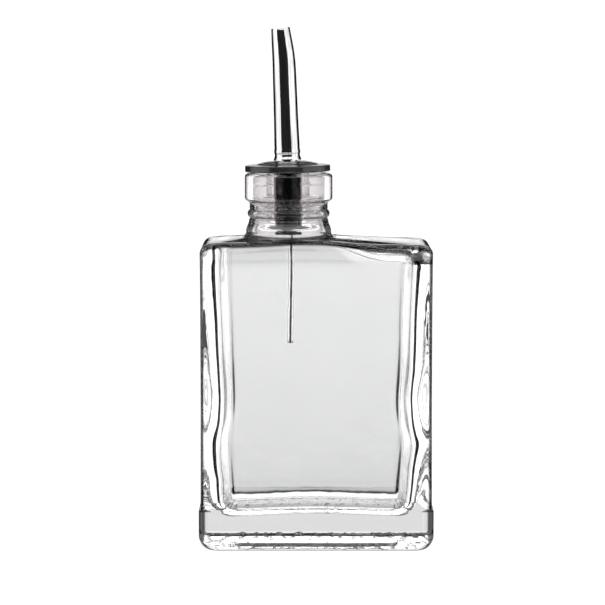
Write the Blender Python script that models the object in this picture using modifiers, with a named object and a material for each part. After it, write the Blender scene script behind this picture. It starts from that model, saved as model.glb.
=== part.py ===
"""An oil bottle: a heavy rectangular glass bottle with a steel pourer in its neck.

Metres, +Z up. The origin is on the table, under the middle of the bottle's base.
+X is to the right and -Y to the front. The neck stands left of the middle.
"""
import math

import bmesh
import bpy
from mathutils import Matrix, Vector

# The glass body
BODY_WIDTH = 0.0738
BODY_DEPTH = 0.0500
BODY_TOP = 0.0990
BODY_CORNER = 0.0058
BODY_RIM = 0.0032
BODY_START = 0.0060

# The body's top is rounded more towards the front and back, and sinks a little to both ends
DOME_ROUND = 0.0090
DOME_MARGIN = 0.0002
SAG_START = 0.0850
SAG_RIGHT = 0.0016
SAG_LEFT = 0.0010

# The thicker foot that the body stands on
FOOT_WIDTH = 0.0754
FOOT_DEPTH = 0.0516
FOOT_HEIGHT = 0.0125
FOOT_HEEL = 0.0047
FOOT_LEDGE = 0.0007
RECESS_DEPTH = 0.0008
RECESS_INSET = 0.0090

# The hollow in the glass. Its side walls are thin at the shoulder and thick above the foot
HOLLOW_FLOOR = 0.0112
HOLLOW_TOP = 0.0970
HOLLOW_DEPTH = 0.0420
HOLLOW_CORNER = 0.0076
HOLLOW_RIM = 0.0032
HOLLOW_HALF_WIDTHS = (
    (0.0112, 0.0318),
    (0.0200, 0.0328),
    (0.0333, 0.0337),
    (0.0410, 0.0328),
    (0.0500, 0.0324),
    (0.0640, 0.0331),
    (0.0780, 0.0335),
    (0.0970, 0.0341),
)
SHOULDER_DROP = 0.0028

# The neck, measured from its own axis
NECK_X = -0.0089
NECK_TOP = 0.1196
NECK_BURIED = 0.0940
RING_RADIUS = 0.0142
RING_HEIGHT = 0.0090
RING_ROUND = 0.0012
GROOVE_RADIUS = 0.01265
GROOVE_HEIGHT = 0.1097
BEAD_RADIUS = 0.0133
BEAD_HEIGHT = 0.1066
BEAD_ROUND = 0.0016
WAIST_RADIUS = 0.0128
WAIST_HEIGHT = 0.1042
FLARE_RADIUS = 0.0138
FLARE_HEIGHT = 0.1010
CROWN_RADIUS = 0.0158
CROWN_HEIGHT = 0.0994
BORE_RADIUS_AT_RING = 0.0119
BORE_RADIUS_BELOW = 0.0111
FUNNEL_RADIUS = 0.0146

# The pourer, measured from the middle of its flange's lower face
POURER_SHIFT = 0.0003
POURER_RISE = 0.0005
POURER_TILT = math.radians(-0.8)
CLEARANCE = 0.0003

FLANGE_RADIUS = 0.0138
FLANGE_EDGE = 0.0020
FLANGE_ROUND = 0.0003
DOME_SHOULDER_RADIUS = 0.0099
DOME_SHOULDER_HEIGHT = 0.0027
DOME_MIDDLE_RADIUS = 0.0076
DOME_MIDDLE_HEIGHT = 0.0032
DOME_SEAT_RADIUS = 0.0052
DOME_SEAT_HEIGHT = 0.0034
CORE_RADIUS = 0.0044
CORE_LENGTH = 0.0184
CORE_CHAMFER = 0.0006
STEM_RADIUS = 0.0031

SLEEVE_RADIUS = 0.0070
SLEEVE_TOP = -0.0006
SLEEVE_LENGTH = 0.0168
FIN_COUNT = 4
FIN_THICKNESS = 0.0007
FIN_PITCH = 0.0038
FIRST_FIN = -0.0042
FIN_RADIUS_AT_RING = 0.0112
FIN_RADIUS_BELOW = 0.0104

SPOUT_FOOT_RADIUS = 0.00445
SPOUT_FOOT_EDGE = 0.0006
SPOUT_RADIUS = 0.0041
SPOUT_BEAD_RADIUS = 0.00425
SPOUT_BEAD_HEIGHT = 0.0065
SPOUT_BEAD_BELOW = 0.0011
SPOUT_BEAD_ABOVE = 0.0017
SPOUT_MIDDLE_RADIUS = 0.00392
SPOUT_MIDDLE_HEIGHT = 0.0180
SPOUT_BEND_RADIUS = 0.00376
SPOUT_BEND_TAPER = 0.0002
SPOUT_TIP_RADIUS = 0.0030
SPOUT_WALL = 0.0005
SPOUT_TIP = 0.0464
SPOUT_LEAN = math.radians(-1.2)
SPOUT_TIP_LEAN = math.radians(-5.6)
SPOUT_BEND_START = 0.0330
SPOUT_BEND_END = 0.0395

BREATHER_RADIUS = 0.00112
BREATHER_BORE = 0.00070
BREATHER_X = 0.00115
BREATHER_TOP = 0.0010
BREATHER_LENGTH = 0.0568
BREATHER_LEAN = math.radians(-1.9)
BREATHER_BEND_START = 0.0202
BREATHER_BEND_END = 0.0242

# How finely round shapes are cut
CORNER_SEGMENTS = 7
RIM_SEGMENTS = 4
ROUND_SEGMENTS = 4
NECK_STEPS = 56
STOPPER_STEPS = 48
SPOUT_STEPS = 32
BREATHER_STEPS = 12
AXIS_STEPS = 64
MERGE_DISTANCE = 0.00001


def clear_scene():
    """Removes whatever the scene holds."""
    for thing in list(bpy.data.objects):
        bpy.data.objects.remove(thing)


def make_collection(name):
    """A new collection in the scene."""
    group = bpy.data.collections.new(name)
    bpy.context.scene.collection.children.link(group)
    return group


def make_material(name, colour, roughness, metallic=0.0, transmission=0.0, alpha=1.0):
    """A material with the part's own colour and gloss."""
    material = bpy.data.materials.new(name)
    material.use_nodes = True
    shader = material.node_tree.nodes["Principled BSDF"]
    shader.inputs["Base Color"].default_value = (*colour, 1.0)
    shader.inputs["Roughness"].default_value = roughness
    shader.inputs["Metallic"].default_value = metallic
    shader.inputs["Transmission Weight"].default_value = transmission
    shader.inputs["Alpha"].default_value = alpha
    material.diffuse_color = (*colour, alpha)
    return material


def add_object(name, mesh_maker, group, material=None):
    """A named object whose mesh is what mesh_maker builds in a bmesh."""
    mesh = bpy.data.meshes.new(name)
    bm = bmesh.new()
    mesh_maker(bm)
    bm.to_mesh(mesh)
    bm.free()
    thing = bpy.data.objects.new(name, mesh)
    group.objects.link(thing)
    if material:
        mesh.materials.append(material)
    return thing


def make_guide(thing):
    """Marks an object as a tool for cutting or joining."""
    thing.hide_render = True
    thing.display_type = "WIRE"
    return thing


def combine(target, tool, operation):
    """Joins a tool to an object, or cuts it out, and leaves the modifier live."""
    modifier = target.modifiers.new(f"{operation.lower()} {tool.name}", "BOOLEAN")
    modifier.operation = operation
    modifier.solver = "EXACT"
    modifier.object = tool


def is_level(edge, height):
    """True for an edge that lies at that height."""
    return all(abs(v.co.z - height) < MERGE_DISTANCE for v in edge.verts)


def build_block(bm, width, depth, bottom, top, corner, top_round=0.0, bottom_round=0.0):
    """A block with rounded upright corners and, where asked, a rounded top and bottom."""
    middle = Vector((0.0, 0.0, (bottom + top) / 2))
    scale = Matrix.Diagonal((width, depth, top - bottom, 1.0))
    bmesh.ops.create_cube(bm, size=1.0, matrix=Matrix.Translation(middle) @ scale)
    upright = [e for e in bm.edges if abs(e.verts[0].co.z - e.verts[1].co.z) > MERGE_DISTANCE]
    bevel(bm, upright, corner, CORNER_SEGMENTS)
    for height, radius in ((top, top_round), (bottom, bottom_round)):
        if radius:
            bevel(bm, [e for e in bm.edges if is_level(e, height)], radius, RIM_SEGMENTS)


def bevel(bm, edges, radius, segments):
    """Rounds edges to a radius."""
    bmesh.ops.bevel(bm, geom=edges, offset=radius, segments=segments, profile=0.5,
                    affect="EDGES", material=-1)


def interpolate(pairs, place):
    """The value at a place between the nearest two of several (place, value) pairs."""
    if place <= pairs[0][0]:
        return pairs[0][1]
    for (low, low_value), (high, high_value) in zip(pairs, pairs[1:]):
        if place <= high:
            share = (place - low) / (high - low)
            return low_value + share * (high_value - low_value)
    return pairs[-1][1]


def sink_ends(bm):
    """Lowers the top of the body towards its left and right ends."""
    for vertex in bm.verts:
        if vertex.co.z > SAG_START:
            share = 2 * abs(vertex.co.x) / BODY_WIDTH
            vertex.co.z -= share * (SAG_RIGHT if vertex.co.x > 0.0 else SAG_LEFT)


def build_body(bm):
    """The body, with its top a little above the dome that cuts it."""
    build_block(bm, BODY_WIDTH, BODY_DEPTH, BODY_START, BODY_TOP + DOME_MARGIN, BODY_CORNER,
                BODY_RIM)
    sink_ends(bm)


def build_dome(bm):
    """A wider block whose top has a large round in front and behind."""
    middle = Vector((0.0, 0.0, BODY_TOP / 2))
    size = (BODY_WIDTH + 0.0200, BODY_DEPTH + 2 * DOME_MARGIN, BODY_TOP, 1.0)
    bmesh.ops.create_cube(bm, size=1.0, matrix=Matrix.Translation(middle) @ Matrix.Diagonal(size))
    long_edges = [e for e in bm.edges if is_level(e, BODY_TOP)
                  and abs(e.verts[0].co.y - e.verts[1].co.y) < MERGE_DISTANCE]
    bevel(bm, long_edges, DOME_ROUND, 2 * RIM_SEGMENTS)
    bmesh.ops.bisect_plane(bm, geom=bm.verts[:] + bm.edges[:] + bm.faces[:],
                           plane_co=(0.0, 0.0, 0.0), plane_no=(1.0, 0.0, 0.0))
    sink_ends(bm)


def build_hollow(bm):
    """The room inside the body, with wavy side walls and shoulders that drop away from the neck."""
    widest = max(half for _, half in HOLLOW_HALF_WIDTHS)
    build_block(bm, 2 * widest, HOLLOW_DEPTH, HOLLOW_FLOOR, HOLLOW_TOP, HOLLOW_CORNER,
                HOLLOW_RIM, HOLLOW_RIM)
    for height, _ in HOLLOW_HALF_WIDTHS[1:-1]:
        bmesh.ops.bisect_plane(bm, geom=bm.verts[:] + bm.edges[:] + bm.faces[:],
                               plane_co=(0.0, 0.0, height), plane_no=(0.0, 0.0, 1.0))
    highest = HOLLOW_HALF_WIDTHS[-2][0]
    for vertex in bm.verts:
        vertex.co.x *= interpolate(HOLLOW_HALF_WIDTHS, vertex.co.z) / widest
        if vertex.co.z > highest and vertex.co.x > 0.0:
            vertex.co.z -= SHOULDER_DROP * vertex.co.x / widest


def arc(centre, height, radius, start, end, segments=ROUND_SEGMENTS):
    """Points (distance from the axis, height) along an arc, its angles in degrees from outward."""
    points = []
    for index in range(segments + 1):
        angle = math.radians(start + (end - start) * index / segments)
        points.append((centre + radius * math.cos(angle), height + radius * math.sin(angle)))
    return points


def neck_profile():
    """The neck's outside, from the middle of its top down to the middle of its buried foot."""
    ring_foot = NECK_TOP - RING_HEIGHT
    edge = RING_RADIUS - RING_ROUND
    return [
        (0.0, NECK_TOP),
        *arc(edge, NECK_TOP - RING_ROUND, RING_ROUND, 90, 0),
        *arc(edge, ring_foot + RING_ROUND, RING_ROUND, 0, -70),
        (GROOVE_RADIUS, GROOVE_HEIGHT),
        *arc(BEAD_RADIUS - BEAD_ROUND, BEAD_HEIGHT, BEAD_ROUND, 60, -60),
        (WAIST_RADIUS, WAIST_HEIGHT),
        (WAIST_RADIUS + 0.0002, WAIST_HEIGHT - 0.0010),
        (FLARE_RADIUS, FLARE_HEIGHT),
        (FLARE_RADIUS + 0.0002, CROWN_HEIGHT + 0.0005),
        (FLARE_RADIUS + 0.0010, CROWN_HEIGHT),
        (CROWN_RADIUS, BODY_TOP - 0.0002),
        (CROWN_RADIUS, NECK_BURIED),
        (0.0, NECK_BURIED),
    ]


def bore_profile():
    """The way through the neck, which opens like a funnel into the hollow."""
    over = NECK_TOP + 0.0020
    return [
        (0.0, over),
        (BORE_RADIUS_AT_RING + 0.0006, over),
        (BORE_RADIUS_AT_RING + 0.0006, NECK_TOP),
        (BORE_RADIUS_AT_RING, NECK_TOP - 0.0006),
        (BORE_RADIUS_AT_RING, NECK_TOP - RING_HEIGHT),
        (BORE_RADIUS_BELOW, GROOVE_HEIGHT - 0.0010),
        (BORE_RADIUS_BELOW, WAIST_HEIGHT),
        (BORE_RADIUS_BELOW + 0.0003, FLARE_HEIGHT - 0.0003),
        (BORE_RADIUS_BELOW + 0.0010, CROWN_HEIGHT - 0.0005),
        (BORE_RADIUS_BELOW + 0.0021, CROWN_HEIGHT - 0.0015),
        (FUNNEL_RADIUS, HOLLOW_TOP - 0.0005),
        (FUNNEL_RADIUS, HOLLOW_TOP - 0.0060),
        (0.0, HOLLOW_TOP - 0.0060),
    ]


def turn(name, profile, steps, group, material=None, closed=False):
    """A solid turned round the Z axis from its outline. A closed outline makes a ring."""
    def draw(bm):
        corners = [bm.verts.new((distance, 0.0, height)) for distance, height in profile]
        for first, second in zip(corners, corners[1:]):
            bm.edges.new((first, second))
        if closed:
            bm.edges.new((corners[-1], corners[0]))

    thing = add_object(name, draw, group, material)
    screw = thing.modifiers.new("turn", "SCREW")
    screw.axis = "Z"
    screw.angle = math.tau
    screw.steps = steps
    screw.render_steps = steps
    screw.use_merge_vertices = True
    screw.merge_threshold = MERGE_DISTANCE
    return thing


def bake(thing):
    """Applies an object's modifiers to its mesh."""
    bpy.context.view_layer.update()
    graph = bpy.context.evaluated_depsgraph_get()
    mesh = bpy.data.meshes.new_from_object(thing.evaluated_get(graph))
    thing.modifiers.clear()
    thing.data = mesh


def follow(turns, distance):
    """The axis's place (across, along) and its lean at a distance, where turns gives the lean."""
    step = distance / AXIS_STEPS
    across = 0.0
    along = 0.0
    for index in range(AXIS_STEPS):
        lean = interpolate(turns, (index + 0.5) * step)
        across += step * math.sin(lean)
        along += step * math.cos(lean)
    return across, along, interpolate(turns, distance)


def bend(thing, root, direction, turns):
    """Bends a straight upright mesh to the left or right, from its root up (1) or down (-1)."""
    for vertex in thing.data.vertices:
        distance = direction * (vertex.co.z - root)
        if distance > 0.0:
            across, along, lean = follow(turns, distance)
            off_axis = vertex.co.x
            vertex.co.x = across + off_axis * math.cos(lean)
            vertex.co.z = root + direction * (along - off_axis * math.sin(lean))


def shade_round(thing, angle=35.0):
    """Smooth shading with crisp edges."""
    thing.data.shade_smooth()
    thing.data.set_sharp_from_angle(angle=math.radians(angle))


def make_bottle(part, tools):
    """The glass: foot, body and neck joined, and the hollow, bore and base recess cut out."""
    glass = make_material("clear_glass", (0.92, 0.93, 0.93), 0.02, transmission=1.0)
    bottle = add_object("bottle", build_body, part, glass)
    dome = add_object("dome_block", build_dome, tools)
    foot = add_object("foot_block", lambda bm: build_block(
        bm, FOOT_WIDTH, FOOT_DEPTH, 0.0, FOOT_HEIGHT, BODY_CORNER, FOOT_LEDGE, FOOT_HEEL), tools)
    neck = turn("neck_turning", neck_profile(), NECK_STEPS, tools)
    hollow = add_object("hollow_block", build_hollow, tools)
    bore = turn("bore_turning", bore_profile(), NECK_STEPS, tools)
    recess = add_object("recess_block", lambda bm: build_block(
        bm, FOOT_WIDTH - 2 * RECESS_INSET, FOOT_DEPTH - 2 * RECESS_INSET, -RECESS_DEPTH,
        RECESS_DEPTH, BODY_CORNER), tools)
    for turning in (neck, bore):
        turning.location.x = NECK_X
    for tool in (dome, foot, neck, hollow, bore, recess):
        make_guide(tool)
    combine(bottle, dome, "INTERSECT")
    combine(bottle, foot, "UNION")
    combine(bottle, neck, "UNION")
    combine(bottle, hollow, "DIFFERENCE")
    combine(bottle, bore, "DIFFERENCE")
    combine(bottle, recess, "DIFFERENCE")
    shade_round(bottle)


def stopper_profile():
    """The black flange and core, as a ring round the spout's stem, outer side first."""
    hole = STEM_RADIUS + CLEARANCE
    return [
        (DOME_SEAT_RADIUS, DOME_SEAT_HEIGHT),
        (DOME_MIDDLE_RADIUS, DOME_MIDDLE_HEIGHT),
        (DOME_SHOULDER_RADIUS, DOME_SHOULDER_HEIGHT),
        *arc(FLANGE_RADIUS - FLANGE_ROUND, FLANGE_EDGE - FLANGE_ROUND, FLANGE_ROUND, 80, 0, 2),
        *arc(FLANGE_RADIUS - FLANGE_ROUND, FLANGE_ROUND, FLANGE_ROUND, 0, -90, 2),
        (CORE_RADIUS, 0.0),
        (CORE_RADIUS, CORE_CHAMFER - CORE_LENGTH),
        (CORE_RADIUS - CORE_CHAMFER, -CORE_LENGTH),
        (hole, -CORE_LENGTH),
        (hole, DOME_SEAT_HEIGHT),
    ]


def sleeve_profile():
    """The pale sealing sleeve on the core, with thin fins that reach for the glass."""
    hole = CORE_RADIUS + CLEARANCE
    points = [(hole, SLEEVE_TOP), (SLEEVE_RADIUS, SLEEVE_TOP)]
    for index in range(FIN_COUNT):
        middle = FIRST_FIN - index * FIN_PITCH
        in_ring = middle > FIRST_FIN - 1.5 * FIN_PITCH
        reach = FIN_RADIUS_AT_RING if in_ring else FIN_RADIUS_BELOW
        half = FIN_THICKNESS / 2
        points += [
            (SLEEVE_RADIUS, middle + 2 * half),
            (reach, middle + half),
            (reach, middle - half),
            (SLEEVE_RADIUS, middle - 2 * half),
        ]
    points += [(SLEEVE_RADIUS, -SLEEVE_LENGTH), (hole, -SLEEVE_LENGTH)]
    return points


def spout_profile():
    """The steel spout standing straight: outside from tip to stem, then the bore back up."""
    foot = DOME_SEAT_HEIGHT + CLEARANCE
    bead_end = SPOUT_BEAD_HEIGHT + SPOUT_BEAD_ABOVE
    bend_length = SPOUT_BEND_END - SPOUT_BEND_START
    tube = [(SPOUT_MIDDLE_RADIUS, SPOUT_MIDDLE_HEIGHT)]
    for share in (0.0, 0.25, 0.5, 0.75):
        tube.append((SPOUT_BEND_RADIUS - SPOUT_BEND_TAPER * share,
                     SPOUT_BEND_START + share * bend_length))
    tube.append(((SPOUT_TIP_RADIUS + SPOUT_BEND_RADIUS) / 2, (SPOUT_TIP + SPOUT_BEND_START) / 2))
    tube.append((SPOUT_TIP_RADIUS, SPOUT_TIP))
    outside = [
        *reversed(tube),
        (SPOUT_RADIUS, bead_end),
        (SPOUT_BEAD_RADIUS, SPOUT_BEAD_HEIGHT),
        (SPOUT_RADIUS, SPOUT_BEAD_HEIGHT - SPOUT_BEAD_BELOW),
        (SPOUT_FOOT_RADIUS, foot + SPOUT_FOOT_EDGE),
        (SPOUT_FOOT_RADIUS, foot),
        (STEM_RADIUS, foot),
        (STEM_RADIUS, -CORE_LENGTH),
    ]
    bore = STEM_RADIUS - SPOUT_WALL
    inside = [
        (bore, -CORE_LENGTH),
        (bore, foot + SPOUT_WALL),
        (SPOUT_RADIUS - SPOUT_WALL, SPOUT_BEAD_HEIGHT),
        *[(radius - SPOUT_WALL, height) for radius, height in tube],
    ]
    return outside + inside


def breather_profile():
    """The air tube standing straight, with rings close together where it bends."""
    bend_rings = [BREATHER_TOP - BREATHER_BEND_END
                  + share * (BREATHER_BEND_END - BREATHER_BEND_START) for share in (0.0, 0.5, 1.0)]
    rings = [BREATHER_TOP - BREATHER_LENGTH, *bend_rings, BREATHER_TOP]
    outside = [(BREATHER_RADIUS, height) for height in reversed(rings)]
    inside = [(BREATHER_BORE, height) for height in rings]
    return outside + inside


def make_pourer(part):
    """The stopper, its sealing sleeve, the spout and the air tube, on one tilted empty."""
    seat = bpy.data.objects.new("pourer_seat", None)
    part.objects.link(seat)
    seat.location = (NECK_X - POURER_SHIFT, 0.0, NECK_TOP + POURER_RISE)
    seat.rotation_euler.y = POURER_TILT

    black = make_material("black_plastic", (0.02, 0.02, 0.022), 0.25)
    pale = make_material("pale_seal", (0.72, 0.70, 0.70), 0.45, transmission=0.6, alpha=0.7)
    steel = make_material("polished_steel", (0.80, 0.80, 0.79), 0.16, metallic=1.0)

    stopper = turn("stopper", stopper_profile(), STOPPER_STEPS, part, black, closed=True)
    sleeve = turn("seal_sleeve", sleeve_profile(), STOPPER_STEPS, part, pale, closed=True)
    spout = turn("spout", spout_profile(), SPOUT_STEPS, part, steel, closed=True)
    breather = turn("breather_tube", breather_profile(), BREATHER_STEPS, part, steel, closed=True)
    for piece in (spout, breather):
        bake(piece)
        shade_round(piece)
    foot = DOME_SEAT_HEIGHT + CLEARANCE
    bend(spout, foot, 1, ((SPOUT_BEND_START - foot, SPOUT_LEAN),
                          (SPOUT_BEND_END - foot, SPOUT_TIP_LEAN)))
    bend(breather, BREATHER_TOP, -1, ((BREATHER_BEND_START, 0.0),
                                      (BREATHER_BEND_END, BREATHER_LEAN)))
    breather.location.x = BREATHER_X
    for piece in (stopper, sleeve, spout, breather):
        piece.parent = seat


def main():
    clear_scene()
    part = make_collection("oil_bottle")
    tools = make_collection("cutting_tools")
    make_bottle(part, tools)
    make_pourer(part)


main()
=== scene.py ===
"""Looks for the oil bottle: thick clear glass, black stopper, pale seal, steel spout and air tube.

It is laid out as an add-on: sizes and colours are properties, and each piece has its own operator.
All lengths are in metres.
"""
import math

import bmesh
import bpy
from bpy.props import FloatProperty, FloatVectorProperty, PointerProperty
from mathutils import Matrix, Vector


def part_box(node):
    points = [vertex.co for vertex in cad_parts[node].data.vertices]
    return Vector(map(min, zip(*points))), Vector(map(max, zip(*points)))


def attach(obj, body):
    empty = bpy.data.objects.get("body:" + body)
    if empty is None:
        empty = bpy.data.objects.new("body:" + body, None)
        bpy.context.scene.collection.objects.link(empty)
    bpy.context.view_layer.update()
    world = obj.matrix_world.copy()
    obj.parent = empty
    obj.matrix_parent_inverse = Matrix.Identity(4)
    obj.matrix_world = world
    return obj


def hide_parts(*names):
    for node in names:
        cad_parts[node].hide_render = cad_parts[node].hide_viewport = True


bl_info = {
    "name": "Oil bottle",
    "version": (1, 0, 0),
    "blender": (4, 5, 0),
    "location": "View3D > Sidebar > Oil bottle",
    "description": "Builds a clear glass oil bottle with a steel pourer",
    "category": "Add Mesh",
}

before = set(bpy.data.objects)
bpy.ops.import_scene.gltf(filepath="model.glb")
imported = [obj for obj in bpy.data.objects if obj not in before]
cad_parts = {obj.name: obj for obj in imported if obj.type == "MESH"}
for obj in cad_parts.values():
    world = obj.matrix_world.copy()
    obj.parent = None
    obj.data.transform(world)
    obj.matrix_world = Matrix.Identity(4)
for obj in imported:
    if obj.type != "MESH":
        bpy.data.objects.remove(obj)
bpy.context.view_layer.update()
BOTTLE_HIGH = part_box("bottle")[1]

# Heights and half widths of the body's sides, which draw in a little at half height
BODY_SIDES = (
    (0.0120, 0.0371), (0.0300, 0.03705), (0.0480, 0.0370), (0.0700, 0.03705),
    (0.0850, 0.0371), (0.0973, 0.0372),
)

# Heights and half widths of the hollow, left and right, which waves a little
HOLLOW_LEFT = (
    (0.0112, 0.0325), (0.0177, 0.0331), (0.0216, 0.0332), (0.0255, 0.0336), (0.0333, 0.0338),
    (0.0372, 0.0335), (0.0410, 0.0329), (0.0488, 0.0326), (0.0565, 0.0329), (0.0642, 0.0332),
    (0.0758, 0.0335), (0.0835, 0.0338), (0.0960, 0.0341),
)
HOLLOW_RIGHT = (
    (0.0112, 0.0312), (0.0177, 0.0323), (0.0216, 0.0326), (0.0255, 0.0329), (0.0333, 0.0337),
    (0.0372, 0.0332), (0.0410, 0.0326), (0.0488, 0.0322), (0.0565, 0.0328), (0.0642, 0.0331),
    (0.0758, 0.0333), (0.0835, 0.0336), (0.0960, 0.0341),
)

# Places along X and the height of the hollow's roof there
ROOF = (
    (-0.0340, 0.0962), (-0.0260, 0.0963), (-0.0180, 0.0970), (-0.0100, 0.0975), (0.0000, 0.0974),
    (0.0060, 0.0966), (0.0120, 0.0955), (0.0200, 0.0946), (0.0300, 0.0943), (0.0340, 0.0942),
)

# Places along X and the height of the hollow's floor there
FLOOR = (
    (-0.0290, 0.0102), (-0.0220, 0.0104), (-0.0120, 0.0109), (0.0000, 0.0112), (0.0120, 0.0109),
    (0.0220, 0.0105), (0.0290, 0.0103),
)

# The camera: its place along X, its height, how many degrees it looks down, and its focal
# length and picture width in pixels
CAMERA_X, CAMERA_Z, CAMERA_DOWN, FOCAL_PIXELS, PICTURE_PIXELS = -0.0044, 0.1667, 5.1, 3087, 605

# Directions round a section, in degrees, close together where its corners are
QUADRANT = (0, 4, 8, 12, 15, 18, *range(20, 46), 48, *range(51, 90, 3), 90)
ROUND = [math.radians(a) for a in (
    *QUADRANT[:-1], *[180 - a for a in QUADRANT[:0:-1]],
    *[180 + a for a in QUADRANT[:-1]], *[360 - a for a in QUADRANT[:0:-1]],
)]


def smooth_table(table, place):
    """A smooth curve through (place, value) pairs, level beyond its ends."""
    if place <= table[0][0]:
        return table[0][1]
    if place >= table[-1][0]:
        return table[-1][1]
    index = max(i for i, (at, _) in enumerate(table) if at <= place)

    def slope(i):
        low, high = table[max(i - 1, 0)], table[min(i + 1, len(table) - 1)]
        return (high[1] - low[1]) / (high[0] - low[0])

    (start, first), (end, second) = table[index], table[index + 1]
    span = end - start
    t = (place - start) / span
    return ((2 * t ** 3 - 3 * t ** 2 + 1) * first + (t ** 3 - 2 * t ** 2 + t) * span * slope(index)
            + (3 * t ** 2 - 2 * t ** 3) * second + (t ** 3 - t ** 2) * span * slope(index + 1))


def ease(low, high, value):
    """0 below low, 1 above high, and a smooth rise between."""
    t = min(max((value - low) / (high - low), 0.0), 1.0)
    return t * t * (3 - 2 * t)


def reach(angle, half_width, half_depth, corner):
    """How far a rounded rectangle reaches from its middle in one direction."""
    across, deep = abs(math.cos(angle)), abs(math.sin(angle))
    flat_width, flat_depth = half_width - corner, half_depth - corner
    if deep * half_width <= flat_depth * across:
        return half_width / across
    if across * half_depth <= flat_width * deep:
        return half_depth / deep
    along = flat_width * across + flat_depth * deep
    return along + math.sqrt(max(along ** 2 - flat_width ** 2 - flat_depth ** 2 + corner ** 2, 0))


def section(left, right, half_depth, corner, height, middle=0.0):
    """The points of one level section, a rounded rectangle."""
    points = []
    for angle in ROUND:
        side = right if math.cos(angle) > 0 else left
        far = reach(angle, side, half_depth, corner)
        points.append(Vector((middle + far * math.cos(angle), far * math.sin(angle), height)))
    return points


def facings(half_width, half_depth, corner):
    """The direction that each point of a rounded rectangle faces."""
    found = []
    for point in section(half_width, half_width, half_depth, corner, 0.0):
        across = max(abs(point.x) - half_width + corner, 0.0)
        deep = max(abs(point.y) - half_depth + corner, 0.0)
        found.append(Vector((math.copysign(across, point.x), math.copysign(deep, point.y),
                             0.0)).normalized())
    return found


def rolled(points, facing, radii, turn, flat, up):
    """A ring of a rounded edge: turn 0 is on the upright wall and 90 degrees on the flat end.

    radii gives each point's radius, flat its end's height, and up is 1 for a top edge.
    """
    ring = []
    for point, normal, radius, height in zip(points, facing, radii, flat):
        placed = point - normal * radius * (1 - math.cos(turn))
        placed.z = height - up * radius * (1 - math.sin(turn))
        ring.append(placed)
    return ring


def sidewards(facing, face, side):
    """A value for each point: face where it looks to the front or back, side at the ends."""
    return [face + (side - face) * math.acos(min(abs(n.y), 1.0)) / (math.pi / 2) for n in facing]


def circle(radius, height, middle):
    """The points of one level circle."""
    return section(radius, radius, radius, radius, height, middle)


def between(first, second, share):
    """A section part of the way from one to another."""
    return [a.lerp(b, share) for a, b in zip(first, second)]


def quarter(steps):
    """Angles from 0 to 90 degrees in even steps."""
    return [math.radians(90 * i / steps) for i in range(steps + 1)]


def draw_skin(bm, outside, inside):
    """A closed skin through sections, each with the same number of points.

    outside pairs each outer section with how early a painted dark shade darkens the glass at its
    points, seen edge on; inside it stays clear.
    """
    sections = [points for points, _ in outside] + inside
    shares = [share for _, share in outside] + [[0.0] * len(ROUND)] * len(inside)
    order = bm.verts.layers.int.new("order")
    outer = bm.verts.layers.float.new("outside")
    ring = bmesh.ops.create_circle(bm, cap_ends=False, segments=len(ROUND), radius=1.0)["verts"]
    for index, vertex in enumerate(ring):
        vertex[order] = index
        vertex[outer] = shares[0][index]
        vertex.co = sections[0][index]
    first_edges = bm.edges[:]
    edges = first_edges
    for place, points in enumerate(sections[1:], 1):
        made = bmesh.ops.extrude_edge_only(bm, edges=edges)["geom"]
        for vertex in made:
            if isinstance(vertex, bmesh.types.BMVert):
                vertex.co = points[vertex[order]]
                vertex[outer] = shares[place][vertex[order]]
        edges = [e for e in made if isinstance(e, bmesh.types.BMEdge)]
    for end in (first_edges, edges):
        bmesh.ops.edgeloop_fill(bm, edges=end)
    bmesh.ops.recalc_face_normals(bm, faces=bm.faces[:])


def draw_turned(bm, outline, steps):
    """A ring turned round the Z axis from its closed outline."""
    corners = [bm.verts.new((distance, 0.0, height)) for distance, height in outline]
    edges = [bm.edges.new(pair) for pair in zip(corners, corners[1:] + corners[:1])]
    bmesh.ops.spin(bm, geom=corners + edges, axis=(0, 0, 1), cent=(0, 0, 0), dvec=(0, 0, 0),
                   angle=math.tau, steps=steps, use_merge=True)
    bmesh.ops.remove_doubles(bm, verts=bm.verts[:], dist=0.000001)
    bmesh.ops.recalc_face_normals(bm, faces=bm.faces[:])


def arc(centre, height, radius, start, end, steps=8):
    """Points (distance from the axis, height) on an arc, its angles in degrees from outward."""
    angles = [math.radians(start + (end - start) * i / steps) for i in range(steps + 1)]
    return [(centre + radius * math.cos(a), height + radius * math.sin(a)) for a in angles]


def finish_piece(name, bm, material, node, sharp=None):
    """Makes the finished piece, which stands for a CAD node."""
    mesh = bpy.data.meshes.new(name)
    bm.to_mesh(mesh)
    bm.free()
    mesh.materials.append(material)
    mesh.shade_smooth()
    if sharp:
        mesh.set_sharp_from_angle(angle=math.radians(sharp))
    piece = bpy.data.objects.new(name, mesh)
    bpy.context.scene.collection.objects.link(piece)
    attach(piece, "root")
    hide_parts(node)
    return piece


def new_material(name, **values):
    """A material whose Principled shader has these values, and its node tree and shader."""
    material = bpy.data.materials.new(name)
    material.use_nodes = True
    shader = material.node_tree.nodes["Principled BSDF"]
    for socket, value in values.items():
        shader.inputs[socket.replace("_", " ")].default_value = value
    return material, material.node_tree, shader


def add_node(tree, kind, **settings):
    """A node with its settings."""
    node = tree.nodes.new(kind)
    for name, value in settings.items():
        setattr(node, name, value)
    return node


def maths(tree, operation, *values, clamp=False):
    """A Math node between sockets or numbers. Gives its output."""
    node = add_node(tree, "ShaderNodeMath", operation=operation, use_clamp=clamp)
    for socket, value in zip(node.inputs, values):
        if isinstance(value, bpy.types.NodeSocket):
            tree.links.new(value, socket)
        else:
            socket.default_value = value
    return node.outputs[0]


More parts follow.
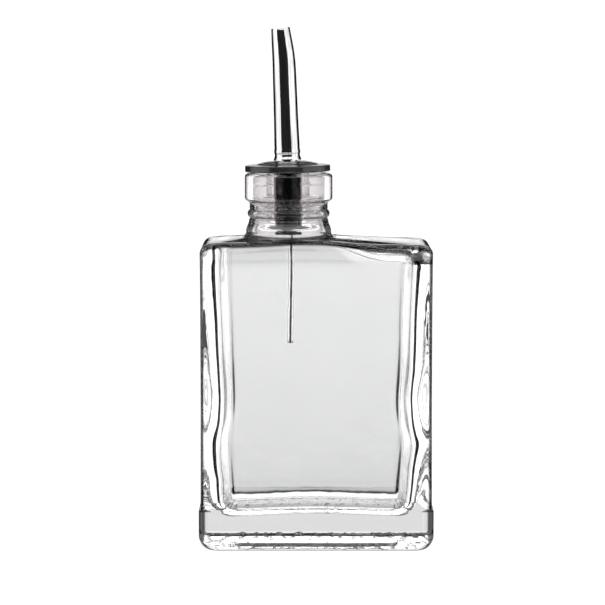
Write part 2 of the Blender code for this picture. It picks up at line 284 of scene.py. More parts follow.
def build_grain():
    """The shared effect: an uneven grain over a surface, stretched as a material asks."""
    group = bpy.data.node_groups.new("surface_grain", "ShaderNodeTree")
    for name, kind in (("Stretch", "NodeSocketVector"), ("Scale", "NodeSocketFloat"),
                       ("Low", "NodeSocketFloat"), ("High", "NodeSocketFloat")):
        group.interface.new_socket(name=name, in_out="INPUT", socket_type=kind)
    for name in ("Value", "Height"):
        group.interface.new_socket(name=name, in_out="OUTPUT", socket_type="NodeSocketFloat")
    given = add_node(group, "NodeGroupInput").outputs
    place = add_node(group, "ShaderNodeTexCoord").outputs["Object"]
    stretched = add_node(group, "ShaderNodeVectorMath", operation="MULTIPLY")
    group.links.new(place, stretched.inputs[0])
    group.links.new(given["Stretch"], stretched.inputs[1])
    noise = add_node(group, "ShaderNodeTexNoise")
    noise.inputs["Detail"].default_value = 3.0
    group.links.new(stretched.outputs[0], noise.inputs["Vector"])
    group.links.new(given["Scale"], noise.inputs["Scale"])
    spread = add_node(group, "ShaderNodeMapRange")
    spread.inputs["From Min"].default_value = 0.32
    spread.inputs["From Max"].default_value = 0.68
    group.links.new(noise.outputs["Fac"], spread.inputs["Value"])
    group.links.new(given["Low"], spread.inputs["To Min"])
    group.links.new(given["High"], spread.inputs["To Max"])
    given_out = add_node(group, "NodeGroupOutput").inputs
    group.links.new(spread.outputs[0], given_out["Value"])
    group.links.new(noise.outputs["Fac"], given_out["Height"])
    return group


def add_grain(tree, scale, low, high, stretch=(1.0, 1.0, 1.0)):
    """The shared grain in a material. Gives its value, from low to high, and its height."""
    node = add_node(tree, "ShaderNodeGroup")
    node.node_tree = bpy.data.node_groups.get("surface_grain") or build_grain()
    node.inputs["Stretch"].default_value = stretch
    node.inputs["Scale"].default_value = scale
    node.inputs["Low"].default_value = low
    node.inputs["High"].default_value = high
    return node.outputs


def add_bump(tree, shader, height, distance):
    """Feeds a height through a Bump node into the shader."""
    bump = add_node(tree, "ShaderNodeBump")
    bump.inputs["Distance"].default_value = distance
    tree.links.new(height, bump.inputs["Height"])
    tree.links.new(bump.outputs[0], shader.inputs["Normal"])


def below(tree, low, high):
    """1 where the surface is lower than low, 0 above high, in metres."""
    place = add_node(tree, "ShaderNodeTexCoord").outputs["Object"]
    split = add_node(tree, "ShaderNodeSeparateXYZ")
    tree.links.new(place, split.inputs[0])
    fall = add_node(tree, "ShaderNodeMapRange")
    for name, value in (("From Min", low), ("From Max", high), ("To Min", 1.0), ("To Max", 0.0)):
        fall.inputs[name].default_value = value
    tree.links.new(split.outputs["Z"], fall.inputs["Value"])
    return fall.outputs[0]


class GlassSettings(bpy.types.PropertyGroup):
    """Sizes and colour of the glass."""

    body_depth: FloatProperty(
        name="Body depth", description="Front to back, above the foot", default=0.0500,
        unit="LENGTH")
    body_top: FloatProperty(
        name="Body top", description="Height of the shoulder", default=0.0990, unit="LENGTH")
    body_corner: FloatProperty(
        name="Body corner", description="Radius of the upright outer corners", default=0.0058,
        unit="LENGTH")
    side_rim: FloatProperty(
        name="Shoulder edge at the ends", description="Radius of the top's left and right edges",
        default=0.0042, unit="LENGTH")
    face_rim: FloatProperty(
        name="Shoulder edge in front", description="Radius of the top's front and back edges",
        default=0.0090, unit="LENGTH")
    foot_height: FloatProperty(
        name="Foot height", description="Height of the wider foot", default=0.0125,
        unit="LENGTH")
    side_heel: FloatProperty(
        name="Heel at the ends", description="Radius under the foot's left and right ends",
        default=0.0044, unit="LENGTH")
    face_heel: FloatProperty(
        name="Heel in front", description="Radius under the foot's front and back",
        default=0.0009, unit="LENGTH")
    floor: FloatProperty(
        name="Inner floor", description="Height of the hollow's floor", default=0.0112,
        unit="LENGTH")
    hollow_depth: FloatProperty(
        name="Hollow depth", description="Front to back, inside", default=0.0420, unit="LENGTH")
    hollow_corner: FloatProperty(
        name="Hollow corner", description="Radius of the upright inner corners", default=0.0076,
        unit="LENGTH")
    hollow_heel: FloatProperty(
        name="Hollow heel", description="Radius between the inner walls and floor",
        default=0.0048, unit="LENGTH")
    neck_x: FloatProperty(
        name="Neck place", description="How far the neck stands from the middle",
        default=-0.0089, unit="LENGTH")
    tint: FloatVectorProperty(
        name="Glass tint", description="What the glass lets through", subtype="COLOR",
        size=3, min=0.0, max=1.0, default=(0.985, 0.987, 0.988))


class PourerSettings(bpy.types.PropertyGroup):
    """Sizes and colours of the pourer."""

    flange_radius: FloatProperty(
        name="Flange radius", description="Radius of the black flange", default=0.0138,
        unit="LENGTH")
    core_radius: FloatProperty(
        name="Core radius", description="Radius of the black core in the neck", default=0.0044,
        unit="LENGTH")
    tilt: FloatProperty(
        name="Tilt", description="How far the pourer leans in the neck",
        default=math.radians(-0.8), subtype="ANGLE")
    black: FloatVectorProperty(
        name="Stopper colour", description="Colour of the flange and core", subtype="COLOR",
        size=3, min=0.0, max=1.0, default=(0.012, 0.012, 0.013))
    pale: FloatVectorProperty(
        name="Seal colour", description="Colour of the soft finned seal", subtype="COLOR",
        size=3, min=0.0, max=1.0, default=(0.86, 0.84, 0.845))
    steel: FloatVectorProperty(
        name="Steel colour", description="Colour of the spout and air tube", subtype="COLOR",
        size=3, min=0.0, max=1.0, default=(0.86, 0.86, 0.85))


class StudioSettings(bpy.types.PropertyGroup):
    """The studio round the bottle."""

    floor_colour: FloatVectorProperty(
        name="Floor colour", description="Colour of the plain floor", subtype="COLOR",
        size=3, min=0.0, max=1.0, default=(0.95, 0.95, 0.95))
    softbox: FloatProperty(
        name="Softbox light", description="How bright the soft side and top lights are",
        default=1.5, min=0.0)
    camera_distance: FloatProperty(
        name="Camera distance", description="From the bottle's middle", default=1.0,
        unit="LENGTH")


def foot_sections(sizes):
    """The outside of the foot, from the recess under it up to its ledge."""
    half_width, half_depth = BOTTLE_HIGH.x, sizes.body_depth / 2 + 0.0001
    corner = sizes.body_corner
    full = section(half_width, half_width, half_depth, corner, 0.0)
    facing = facings(half_width, half_depth, corner)
    heel = sidewards(facing, sizes.face_heel, sizes.side_heel)
    level = [0.0] * len(ROUND)

    def inset(amount, height):
        return section(half_width - amount, half_width - amount, half_depth - amount,
                       max(corner - amount, 0.0012), height)

    sections = [
        section(half_width - 0.65 * amount, half_width - 0.65 * amount, half_depth - amount,
                0.0030, height)
        for amount, height in ((0.0184, 0.0006), (0.0181, 0.0006), (0.0178, 0.00055),
                               (0.0175, 0.0003), (0.0172, 0.00005), (0.0169, 0.0),
                               (0.0165, 0.0))]
    for turn in reversed(quarter(12)):
        sections.append(rolled(full, facing, heel, turn, level, -1))
    sections.append([point + Vector((0, 0, radius + 0.0003)) for point, radius in zip(full, heel)])
    ledge, top = 0.0007, sizes.foot_height
    for height in (sizes.side_heel + 0.0006, top - ledge - 0.0004, top - ledge - 0.0002):
        sections.append(inset(0.0, height))
    for angle in quarter(4):
        inward, height = ledge * (1 - math.cos(angle)), top - ledge * (1 - math.sin(angle))
        sections.append(section(half_width - inward, half_width - inward, half_depth,
                                corner - inward, height))
    return sections


def body_sections(sizes):
    """The outside of the body's sides and the edge round its top."""
    half_depth, corner, top = sizes.body_depth / 2, sizes.body_corner, sizes.body_top
    half = smooth_table(BODY_SIDES, top)
    facing = facings(half, half_depth, corner)
    rim = sidewards(facing, sizes.face_rim, sizes.side_rim)
    start = sizes.foot_height + 0.0004

    def at(share):
        ring = []
        for index, radius in enumerate(rim):
            height = start + (top - radius - start) * share
            angle = ROUND[index]
            far = reach(angle, smooth_table(BODY_SIDES, height), half_depth, corner)
            ring.append(Vector((far * math.cos(angle), far * math.sin(angle), height)))
        return ring

    sag = [0.0016 * ease(0.0, 0.036, math.cos(angle) * 0.036)
           + 0.0010 * ease(0.010, 0.036, -math.cos(angle) * 0.036) for angle in ROUND]
    sections = [at(0.0), at(0.004)]
    sections += [at(i / 24) for i in range(1, 24)]
    for turn in quarter(18):
        inward, upward = 1 - math.cos(turn) ** 0.8, math.sin(turn) ** 0.8
        wide = half - sizes.side_rim * (1 - math.cos(turn))
        ring = section(wide, wide, half_depth - sizes.face_rim * inward,
                       corner - 0.3 * sizes.side_rim * inward, top)
        for point, radius, lower, ends in zip(ring, rim, sag, sidewards(facing, 0.0, 1.0)):
            risen = upward + (math.sin(turn) - upward) * ends
            point.z = top - (radius - lower) * (1 - risen) - lower
        sections.append(ring)
    return sections


def neck_sections(sizes, edge):
    """The top face, crown, neck and ring outside."""
    top, x = sizes.body_top, sizes.neck_x
    crown = circle(0.0158, top + 0.0001, x)
    sections = [between(edge, crown, share) for share in (0.02, 0.2, 0.4, 0.6, 0.8, 1.0)]
    neck_top = BOTTLE_HIGH.z
    outside = [
        (0.0154, 0.0992), (0.0150, 0.0993), (0.0146, 0.0995), (0.0143, 0.0997),
        (0.0140, 0.0999), (0.0138, 0.1002), (0.01375, 0.1005), (0.0138, 0.1008),
        (0.0138, 0.1012), (0.01365, 0.1018), (0.0134, 0.1025), (0.0131, 0.1032),
        (0.0129, 0.1039), (0.0128, 0.1046),
        *arc(0.0117, 0.1066, 0.0016, -60, 60), (0.0127, 0.1084), (0.01262, 0.1090),
        (0.01262, 0.1096), (0.0128, 0.1102),
        *arc(0.0130, neck_top - 0.0078, 0.0012, -70, 0),
        *arc(0.0130, neck_top - 0.0012, 0.0012, 0, 90),
        *arc(0.0125, neck_top - 0.0006, 0.0006, 90, 180, 5),
    ]
    return sections + [circle(radius, height, x) for radius, height in outside]


def bore_sections(sizes):
    """The bore through the neck, down into the hollow."""
    bore = (
        (0.0119, 0.1186), (0.0119, 0.1160), (0.0119, 0.1130), (0.0119, 0.1110), (0.0118, 0.1100),
        (0.0115, 0.1092), (0.0112, 0.1086), (0.0111, 0.1078), (0.0111, 0.1060), (0.0111, 0.1042),
        (0.0111, 0.1030), (0.0112, 0.1018), (0.0114, 0.1007), (0.0117, 0.0997), (0.0121, 0.0989),
        (0.0126, 0.0983), (0.0132, 0.0979), (0.0139, 0.0977),
    )
    return [circle(radius, height, sizes.neck_x) for radius, height in bore]


def hollow_sections(sizes):
    """The hollow's roof, walls and floor, seen from inside, top to bottom."""
    depth, corner = sizes.hollow_depth / 2, sizes.hollow_corner

    def wall_point(index, height):
        angle = ROUND[index]
        table = HOLLOW_RIGHT if math.cos(angle) > 0 else HOLLOW_LEFT
        waved, calm = smooth_table(table, height), 0.0331
        share = ease(0.0180, 0.0300, height) * (1 - ease(0.0800, 0.0920, height))
        share *= 1 - ease(0.10, 0.50, abs(math.sin(angle)))
        far = reach(angle, waved + (calm - waved) * share, depth, corner)
        return Vector((far * math.cos(angle), far * math.sin(angle), height))

    def wall(height):
        return [wall_point(index, height) for index in range(len(ROUND))]

    high = wall(0.0930)
    facing = facings(0.0338, depth, corner)
    tight = sidewards(facing, 0.0020, 0.0030)
    wide = sidewards(facing, 0.0042, 0.0035)
    radii = [a + (b - a) * ease(-0.002, 0.018, point.x)
             for a, b, point in zip(tight, wide, high)]

    def roof_heights(points):
        return [smooth_table(ROOF, point.x) for point in points]

    edge = rolled(high, facing, radii, math.pi / 2, roof_heights(high), 1)
    for point in edge:
        point.z = smooth_table(ROOF, point.x)
    funnel = circle(0.0146, 0.0976, sizes.neck_x)
    sections = []
    for share in (0.2, 0.4, 0.6, 0.8, 0.97):
        ring = between(funnel, edge, share)
        for point in ring:
            point.z = 0.0976 + (smooth_table(ROOF, point.x) - 0.0976) * ease(0.0, 0.9, share)
        sections.append(ring)
    for turn in reversed(quarter(14)):
        sections.append(rolled(high, facing, radii, turn, roof_heights(high), 1))
    start = sections[-1]
    heel = [sizes.hollow_heel] * len(ROUND)
    steps = 48
    for i in range(1, steps):
        share = i / steps
        sections.append([
            wall_point(index, point.z + (sizes.floor + sizes.hollow_heel - point.z) * share)
            for index, point in enumerate(start)])
    floor = [sizes.floor] * len(ROUND)
    low = wall(sizes.floor + sizes.hollow_heel)
    for turn in quarter(20):
        ring = rolled(low, facing, heel, turn, floor, -1)
        for point in ring:
            point.z += (smooth_table(FLOOR, point.x) - sizes.floor) * math.sin(turn)
        sections.append(ring)
    for share in (0.985, 0.94, 0.86, 0.74, 0.58, 0.40, 0.22, 0.08):
        sections.append([Vector((point.x * share, point.y * share,
                                 smooth_table(FLOOR, point.x * share))) for point in ring])
    return sections


def glass_material(tint):
    """Clear, thick glass with painted dark shade where it is seen edge on, and a painted grey
    shade on the neck.
    """
    material, tree, shader = new_material(
        "clear_glass", Roughness=0.0, Metallic=0.0, Transmission_Weight=1.0, IOR=1.5)
    # Painted shade: the glass's colour goes almost black where its outer skin is seen edge on,
    # sooner where a point's 'outside' share is higher; it stands in for dark surroundings seen in
    # the glass.
    facing = add_node(tree, "ShaderNodeLayerWeight").outputs["Facing"]
    outside = add_node(tree, "ShaderNodeAttribute", attribute_name="outside").outputs["Fac"]
    edge = ramp(tree, maths(tree, "MULTIPLY", facing, outside), ((0.34, 0.0), (0.50, 1.0)))
    cloudy = mix(tree, add_grain(tree, 45.0, 0.0, 1.0)["Value"], 1.0, 1.0)
    cloudy.node.inputs[6].default_value = (*tint, 1.0)
    cloudy.node.inputs[7].default_value = (*[0.985 * part for part in tint], 1.0)
    # Painted shade: above the shoulder the glass is tinted a pinkish grey, which stands in for the
    # grey shading seen through the neck.
    tint_and_painted_neck_shade = mix(tree, below(tree, 0.0985, 0.1000), 1.0, cloudy)
    tint_and_painted_neck_shade.node.inputs[6].default_value = (0.84, 0.822, 0.827, 1.0)
    colour = mix(tree, edge, tint_and_painted_neck_shade, 0.01)
    tree.links.new(colour, shader.inputs["Base Color"])
    stippled = maths(tree, "MULTIPLY", below(tree, 0.0003, 0.0008), 8.0)
    waves = maths(tree, "MULTIPLY", add_grain(tree, 75.0, 0.0, 1.0)["Height"], 0.35)
    knurls = add_grain(tree, 1.0, 0.0, 1.0, (430.0, 70.0, 0.0))["Height"]
    knurls = maths(tree, "MAXIMUM", maths(tree, "SUBTRACT", knurls, 0.53), 0.0)
    knurls = maths(tree, "MULTIPLY", knurls, stippled)
    add_bump(tree, shader, maths(tree, "ADD", waves, knurls), 0.0003)
    return material


def steel_material(colour):
    """Polished steel with faint drawn lines along it, painted dark where it is seen edge on."""
    material, tree, shader = new_material("polished_steel", Metallic=1.0)
    facing = add_node(tree, "ShaderNodeLayerWeight").outputs["Facing"]
    drawn = add_grain(tree, 1.0, 0.0, 1.0, (2600.0, 2600.0, 45.0))
    metal = mix(tree, drawn["Value"], 1.0, 1.0)
    metal.node.inputs[6].default_value = (*colour, 1.0)
    metal.node.inputs[7].default_value = (*[0.55 * part for part in colour], 1.0)
    # Painted shade: the steel's colour goes near black where it is seen edge on, standing in for
    # dark surroundings reflected there.
    tone = mix(tree, ramp(tree, facing, ((0.38, 0.0), (0.50, 1.0))), metal, 0.02)
    tree.links.new(tone, shader.inputs["Base Color"])
    tree.links.new(add_grain(tree, 1.0, 0.05, 0.13, (1800.0, 1800.0, 60.0))["Value"],
                   shader.inputs["Roughness"])
    add_bump(tree, shader, drawn["Height"], 0.000008)
    return material


def seat(bm, context):
    """Moves a piece of the pourer from the origin to the neck's top, and tilts it.

    The origin is the middle of the flange's lower face.
    """
    neck_x = context.scene.oil_bottle_glass.neck_x
    place = Matrix.Translation((neck_x - 0.0003, 0.0, BOTTLE_HIGH.z + 0.0005))
    tilt = Matrix.Rotation(context.scene.oil_bottle_pourer.tilt, 4, "Y")
    bmesh.ops.transform(bm, verts=bm.verts[:], matrix=place @ tilt)


class OILBOTTLE_OT_glass(bpy.types.Operator):
    """Build the glass: foot, body, ringed neck and the wavy hollow"""

    bl_idname = "oilbottle.glass"
    bl_label = "Glass"

    def execute(self, context):
        sizes = context.scene.oil_bottle_glass
        bm = bmesh.new()
        body = body_sections(sizes)
        neck = neck_sections(sizes, body[-1])
        around = facings(BOTTLE_HIGH.x, sizes.body_depth / 2, sizes.body_corner)
        # Each outer section's share of the painted dark edge shade: the higher the share, the
        # sooner the glass is painted dark when seen edge on.
        outside = [(points, sidewards(around, 0.9, 1.6) if 7 <= place < 20
                    else [1.6] * len(ROUND))
                   for place, points in enumerate(foot_sections(sizes))]
        outside += [(points, [1.0] * len(ROUND)) for points in body[:-19]]
        outside += [(points, [1.2] * len(ROUND)) for points in body[-19:-3]]
        outside += [(points, [0.3 + 0.9 * ease(0.006, 0.011, abs(p.y)) for p in points])
                    for points in body[-3:] + neck[:7]]
        outside += [(points, [1.0 - 0.35 * ease(0.1085, 0.1105, points[0].z)] * len(ROUND))
                    for points in neck[7:]]
        draw_skin(bm, outside, bore_sections(sizes) + hollow_sections(sizes))
        piece = finish_piece("bottle_glass", bm, glass_material(sizes.tint), "bottle")
        piece.visible_shadow = False
        piece.visible_diffuse = False
        return {"FINISHED"}


class OILBOTTLE_OT_stopper(bpy.types.Operator):
    """Build the glossy black flange and the core below it"""

    bl_idname = "oilbottle.stopper"
    bl_label = "Stopper"

    def execute(self, context):
        sizes = context.scene.oil_bottle_pourer
        flange, core = sizes.flange_radius, sizes.core_radius
        outline = [
            (0.0034, 0.0034), (0.0052, 0.0034), (0.0064, 0.00335), (0.0078, 0.0031),
            (0.0090, 0.0028), (0.0098, 0.0026), (0.0101, 0.00245), (0.0108, 0.0023),
            (0.0120, 0.0022), (0.0132, 0.0021),
            *arc(flange - 0.0004, 0.0017, 0.0004, 80, 0, 5),
            *arc(flange - 0.0004, 0.0004, 0.0004, 0, -90, 5),
            (core + 0.0004, 0.0), (core, -0.0004), (core, -0.0192), (core - 0.0004, -0.0196),
            (0.0034, -0.0196),
        ]
        bm = bmesh.new()
        draw_turned(bm, outline, 128)
        seat(bm, context)
        material, tree, shader = new_material(
            "black_plastic", Base_Color=(*sizes.black, 1.0))
        worn = add_grain(tree, 260.0, 0.0, 1.0)
        tone = mix(tree, worn["Value"], 1.0, 1.0)
        tone.node.inputs[6].default_value = (*sizes.black, 1.0)
        tone.node.inputs[7].default_value = (*[2.0 * part for part in sizes.black], 1.0)
        tree.links.new(tone, shader.inputs["Base Color"])
        tree.links.new(add_grain(tree, 420.0, 0.10, 0.20)["Value"], shader.inputs["Roughness"])
        add_bump(tree, shader, add_grain(tree, 1900.0, 0.0, 1.0)["Height"], 0.000006)
        finish_piece("stopper_black", bm, material, "stopper", 35)
        return {"FINISHED"}


class OILBOTTLE_OT_seal(bpy.types.Operator):
    """Build the pale finned seal round the core"""

    bl_idname = "oilbottle.seal"
    bl_label = "Seal"

    def execute(self, context):
        sizes = context.scene.oil_bottle_pourer
        hole = sizes.core_radius + 0.0003
        outline = [(hole, -0.0006), (0.0068, -0.0006), (0.0070, -0.0008)]
        for index in range(4):
            middle = -0.0042 - index * 0.0038
            reach_out = 0.0112 if index < 2 else 0.0104
            outline += [(0.0070, middle + 0.0008), (0.0073, middle + 0.0005),
                        (reach_out, middle + 0.0003), (reach_out + 0.0001, middle),
                        (reach_out, middle - 0.0003), (0.0073, middle - 0.0005),
                        (0.0070, middle - 0.0008)]
        outline += [(0.0070, -0.0166), (0.0068, -0.0168), (hole, -0.0168)]
        bm = bmesh.new()
        draw_turned(bm, outline, 128)
        seat(bm, context)
        material, tree, shader = new_material(
            "pale_seal", Transmission_Weight=1.0, IOR=1.12)
        cloud = add_grain(tree, 340.0, 0.0, 1.0)
        tone = mix(tree, cloud["Value"], 1.0, 1.0)
        tone.node.inputs[6].default_value = (*sizes.pale, 1.0)
        tone.node.inputs[7].default_value = (*[0.82 * part for part in sizes.pale], 1.0)
        tree.links.new(tone, shader.inputs["Base Color"])
        tree.links.new(add_grain(tree, 500.0, 0.08, 0.22)["Value"], shader.inputs["Roughness"])
        add_bump(tree, shader, cloud["Height"], 0.00015)
        finish_piece("seal_fins", bm, material, "seal_sleeve", 35)
        return {"FINISHED"}


def follow(turns, distance, steps=48):
    """The axis's place (across, along) and its lean at a distance, where turns gives the lean."""
    step = distance / steps
    across = along = 0.0
    for index in range(steps):
        lean = smooth_table(turns, (index + 0.5) * step)
        across += step * math.sin(lean)
        along += step * math.cos(lean)
    return across, along, smooth_table(turns, distance)


def bend(bm, root, direction, turns):
    """Bends an upright piece to the left or right, from its root up (1) or down (-1)."""
    places = {}
    for vertex in bm.verts:
        distance = direction * (vertex.co.z - root)
        if distance > 0:
            key = round(distance, 7)
            if key not in places:
                places[key] = follow(turns, distance)
            across, along, lean = places[key]
            off_axis = vertex.co.x
            vertex.co.x = across + off_axis * math.cos(lean)
            vertex.co.z = root + direction * (along - off_axis * math.sin(lean))


class OILBOTTLE_OT_spout(bpy.types.Operator):
    """Build the polished steel spout, bent a little near its tip"""

    bl_idname = "oilbottle.spout"
    bl_label = "Spout"

    def execute(self, context):
        sizes = context.scene.oil_bottle_pourer
        wall, foot, start, tip = 0.0005, 0.0037, 0.0090, 0.0464
        radii = ((0.0082, 0.0041), (0.0180, 0.00392), (0.0330, 0.00376), (0.0395, 0.00352),
                 (tip, 0.0030))
        heights = [start + (tip - 0.0002 - start) * i / 36 for i in range(37)]
        tube = [(smooth_table(radii, height), height) for height in heights]
        outline = [
            (0.0026, -0.0196), (0.0031, -0.0196), (0.0031, foot), (0.00445, foot),
            (0.00445, foot + 0.0004), (0.0043, foot + 0.0007), (0.0041, 0.0050),
            (0.00408, 0.0056), (0.00418, 0.0060), (0.00425, 0.0065), (0.00418, 0.0070),
            (0.00408, 0.0074), *tube, (0.0029, tip), (0.0026, tip),
            *[(radius - wall, height) for radius, height in reversed(tube)],
            (0.0036, 0.0065), (0.0026, foot + wall),
        ]
        bm = bmesh.new()
        draw_turned(bm, outline, 96)
        bend(bm, foot, 1, ((0.0293, math.radians(-1.2)), (0.0325, math.radians(-3.4)),
                           (0.0358, math.radians(-5.6))))
        seat(bm, context)
        finish_piece("spout_steel", bm, steel_material(sizes.steel), "spout",
                     40)
        return {"FINISHED"}


class OILBOTTLE_OT_air_tube(bpy.types.Operator):
    """Build the thin steel air tube that hangs in the bottle"""

    bl_idname = "oilbottle.air_tube"
    bl_label = "Air tube"

    def execute(self, context):
        top, length = 0.0010, 0.0568
        heights = [top - length + 0.0001 + (length - 0.0002) * i / 40 for i in range(41)]
        outline = [(0.0007, top - length), (0.00105, top - length),
                   *[(0.00112, height) for height in heights], (0.00105, top), (0.0007, top),
                   *[(0.0007, height) for height in reversed(heights)]]
        bm = bmesh.new()
        draw_turned(bm, outline, 40)
        bend(bm, top, -1, ((0.0202, 0.0), (0.0222, math.radians(-0.95)),
                           (0.0242, math.radians(-1.9))))
        bmesh.ops.translate(bm, verts=bm.verts[:], vec=(0.00115, 0.0, 0.0))
        seat(bm, context)
        finish_piece("air_tube_steel", bm, bpy.data.materials["polished_steel"],
                     "breather_tube", 40)
        return {"FINISHED"}


def ramp(tree, value, stops):
    """A colour ramp over a value, with grey stops (place, grey)."""
    node = add_node(tree, "ShaderNodeValToRGB")
    elements = node.color_ramp.elements
    while len(elements) > 1:
        elements.remove(elements[-1])
    elements[0].position = stops[0][0]
    elements[0].color = (stops[0][1],) * 3 + (1.0,)
    for place, grey in stops[1:]:
        element = elements.new(place)
        element.color = (grey, grey, grey, 1.0)
    if isinstance(value, bpy.types.NodeSocket):
        tree.links.new(value, node.inputs[0])
    return node.outputs[0]


def mix(tree, factor, first, second):
    """A Mix node between two values or colours. Gives its output."""
    node = add_node(tree, "ShaderNodeMix", data_type="RGBA")
    for index, value in ((0, factor), (6, first), (7, second)):
        socket = node.inputs[index]
        if isinstance(value, bpy.types.NodeSocket):
            tree.links.new(value, socket)
        elif index == 0:
            socket.default_value = value
        else:
            socket.default_value = (value, value, value, 1.0)
    return node.outputs[2]


def light_studio(world, softbox):
    """Soft studio light: a white backdrop, dark gaps beside it, and softboxes at the sides."""
    world.use_nodes = True
    tree = world.node_tree
    tree.nodes.clear()
    place = add_node(tree, "ShaderNodeTexCoord")
    split = add_node(tree, "ShaderNodeSeparateXYZ")
    tree.links.new(place.outputs["Generated"], split.inputs[0])
    x, y, z = split.outputs
    azimuth = maths(tree, "ARCTAN2", x, y)
    turn = maths(tree, "MULTIPLY_ADD", azimuth, 0.5 / math.pi, 0.5)
    climb = maths(tree, "MULTIPLY_ADD", maths(tree, "ARCSINE", z), 1 / math.pi, 0.5)

    def a(degrees):
        """Where an azimuth is on a ramp over turn; 0 is straight behind the bottle."""
        return degrees / 360 + 0.5

    def e(degrees):
        """Where an elevation is on a ramp over climb."""
        return degrees / 180 + 0.5

    def f(degrees):
        """Where an azimuth is on a ramp over beside, which repeats every quarter turn."""
        return degrees / 45

    dark, dim, soft = 0.006, 0.014, 0.55
    boxes = ramp(tree, turn, ((0.0, dim), (a(-130), dim), (a(-127), 1.0), (a(-80), 1.0),
                              (a(-70), soft), (a(-62), soft), (a(-58), dim), (a(58), dim),
                              (a(62), soft), (a(70), soft), (a(80), 1.0), (a(136), 1.0),
                              (a(140), dim), (1.0, dim)))
    backdrop = ramp(tree, turn, ((a(-14), 0.0), (a(-10), 1.0), (a(10), 1.0), (a(14), 0.0)))
    fold = maths(tree, "PINGPONG", azimuth, math.pi / 4)
    beside = maths(tree, "MULTIPLY", fold, 4 / math.pi)
    gaps = ramp(tree, beside, ((f(10), 1.0), (f(13), 0.90), (f(20), 0.80), (f(23), dark),
                               (f(30), dark), (f(34), 1.0)))
    sideways = ramp(tree, turn, (
        (a(-146), dark), (a(-140), 1.0), (a(-87), 1.0), (a(-84), dark), (a(-65), dark),
        (a(-62), 1.0), (a(62), 1.0), (a(65), dark), (a(84), dark), (a(87), 1.0),
        (a(140), 1.0), (a(146), dark)))
    nearby = ramp(tree, climb, ((e(1.5), 0.02), (e(2.5), 1.0), (e(11), 1.0), (e(13), 0.02),
                                (e(23), 0.02), (e(26), 1.0)))
    overhead = ramp(tree, climb, ((e(23), 0.0), (e(26), 1.0), (e(62), 1.0), (e(68), 0.2)))
    floor = ramp(tree, climb, ((e(-13), 1.0), (e(-12), 0.0)))

    sides = maths(tree, "MULTIPLY", boxes, softbox)
    beyond = ramp(tree, climb, ((e(26), 0.0), (e(30), 1.0)))
    level = mix(tree, backdrop, sides, nearby)
    behind_top = ramp(tree, turn, ((a(-70), 1.0), (a(-50), 0.04), (a(50), 0.04), (a(70), 1.0)))
    overhead = maths(tree, "MULTIPLY", overhead, behind_top)
    level = mix(tree, beyond, level, maths(tree, "MULTIPLY", level, behind_top))
    above = maths(tree, "MAXIMUM", level, maths(tree, "MULTIPLY", overhead, softbox))
    studio = mix(tree, floor, above, 0.86)
    low = ramp(tree, climb, ((e(-40), 1.0), (e(-32), 0.0)))
    bright = ramp(tree, climb, ((e(-35), 1.35), (e(-32), 0.06), (e(-29), 0.10), (e(-25), 0.60),
                                (e(-19), 0.78), (e(-9), 0.80), (e(-7.5), 0.90),
                                (e(-4.5), 1.0), (e(13), 1.0), (e(15), 0.01)))

    paths = add_node(tree, "ShaderNodeLightPath")
    straight = maths(tree, "LESS_THAN", paths.outputs["Glossy Depth"], 0.5)
    through = maths(tree, "GREATER_THAN", paths.outputs["Transmission Depth"], 0.5)
    gap = mix(tree, straight, sideways, mix(tree, low, gaps, 1.0))
    behind = maths(tree, "MULTIPLY", gap, bright)
    behind = maths(tree, "MULTIPLY", behind, mix(tree, straight, 1.6, 1.0))
    seen = mix(tree, through, studio, behind)
    flat = maths(tree, "MAXIMUM", paths.outputs["Is Camera Ray"],
                 paths.outputs["Is Diffuse Ray"], clamp=True)
    colour = mix(tree, flat, seen, 1.08)
    light = add_node(tree, "ShaderNodeBackground")
    tree.links.new(colour, light.inputs["Color"])
    out = add_node(tree, "ShaderNodeOutputWorld")
    tree.links.new(light.outputs[0], out.inputs[0])


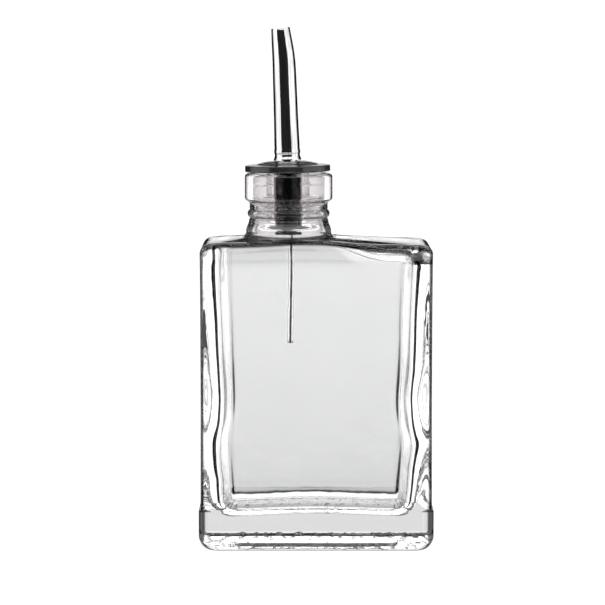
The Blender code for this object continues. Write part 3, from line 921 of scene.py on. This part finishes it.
class OILBOTTLE_OT_studio(bpy.types.Operator):
    """Set the camera, the plain floor and the soft light"""

    bl_idname = "oilbottle.studio"
    bl_label = "Studio"

    def execute(self, context):
        settings = context.scene.oil_bottle_studio
        scene = context.scene
        camera = bpy.data.objects.new("camera", bpy.data.cameras.new("camera"))
        camera.location = (CAMERA_X, -settings.camera_distance, CAMERA_Z)
        camera.rotation_euler = (math.radians(90 - CAMERA_DOWN), 0.0, 0.0)
        camera.data.sensor_width = 36.0
        camera.data.lens = 36.0 * FOCAL_PIXELS / PICTURE_PIXELS
        camera.data.clip_start = 0.01
        camera.data.clip_end = 20.0
        scene.collection.objects.link(camera)
        scene.camera = camera

        bm = bmesh.new()
        bmesh.ops.create_grid(bm, x_segments=1, y_segments=1, size=6.0)
        bmesh.ops.translate(bm, verts=bm.verts[:], vec=(0.0, 0.0, -0.0003))
        mesh = bpy.data.meshes.new("floor")
        bm.to_mesh(mesh)
        bm.free()
        material, tree, shader = new_material(
            "studio_floor", Base_Color=(*settings.floor_colour, 1.0), Roughness=1.0,
            Specular_IOR_Level=0.0)
        worn = mix(tree, add_grain(tree, 6.0, 0.0, 1.0)["Value"], 1.0, 1.0)
        worn.node.inputs[6].default_value = (*settings.floor_colour, 1.0)
        worn.node.inputs[7].default_value = (*[0.98 * part for part in settings.floor_colour], 1.0)
        tree.links.new(worn, shader.inputs["Base Color"])
        tree.links.new(add_grain(tree, 9.0, 0.85, 1.0)["Value"], shader.inputs["Roughness"])
        mesh.materials.append(material)
        floor = bpy.data.objects.new("floor", mesh)
        floor.visible_transmission = False
        floor.visible_glossy = False
        scene.collection.objects.link(floor)

        scene.world = bpy.data.worlds.new("studio")
        light_studio(scene.world, settings.softbox)
        scene.view_settings.view_transform = "Standard"
        scene.view_settings.look = "None"
        cycles = scene.cycles
        cycles.max_bounces = 24
        cycles.glossy_bounces = 16
        cycles.transmission_bounces = 24
        cycles.transparent_max_bounces = 16
        return {"FINISHED"}


class OILBOTTLE_PT_panel(bpy.types.Panel):
    """Lists the bottle's settings and steps"""

    bl_label = "Oil bottle"
    bl_idname = "OILBOTTLE_PT_panel"
    bl_space_type = "VIEW_3D"
    bl_region_type = "UI"
    bl_category = "Oil bottle"

    def draw(self, context):
        layout = self.layout
        for group, steps in STEPS:
            settings = getattr(context.scene, group)
            box = layout.box()
            for name in settings.__annotations__:
                box.prop(settings, name)
            for step in steps:
                box.operator(step.bl_idname)


STEPS = (
    ("oil_bottle_glass", (OILBOTTLE_OT_glass,)),
    ("oil_bottle_pourer", (OILBOTTLE_OT_stopper, OILBOTTLE_OT_seal, OILBOTTLE_OT_spout,
                           OILBOTTLE_OT_air_tube)),
    ("oil_bottle_studio", (OILBOTTLE_OT_studio,)),
)
GROUPS = {
    "oil_bottle_glass": GlassSettings,
    "oil_bottle_pourer": PourerSettings,
    "oil_bottle_studio": StudioSettings,
}
CLASSES = (*GROUPS.values(), *[step for _, steps in STEPS for step in steps], OILBOTTLE_PT_panel)


def register():
    for made in CLASSES:
        bpy.utils.register_class(made)
    for name, group in GROUPS.items():
        setattr(bpy.types.Scene, name, PointerProperty(type=group))


def unregister():
    for name in GROUPS:
        delattr(bpy.types.Scene, name)
    for made in reversed(CLASSES):
        bpy.utils.unregister_class(made)


def main():
    register()
    bpy.ops.oilbottle.glass()
    bpy.ops.oilbottle.stopper()
    bpy.ops.oilbottle.seal()
    bpy.ops.oilbottle.spout()
    bpy.ops.oilbottle.air_tube()
    bpy.ops.oilbottle.studio()


if __name__ == "__main__":
    main()
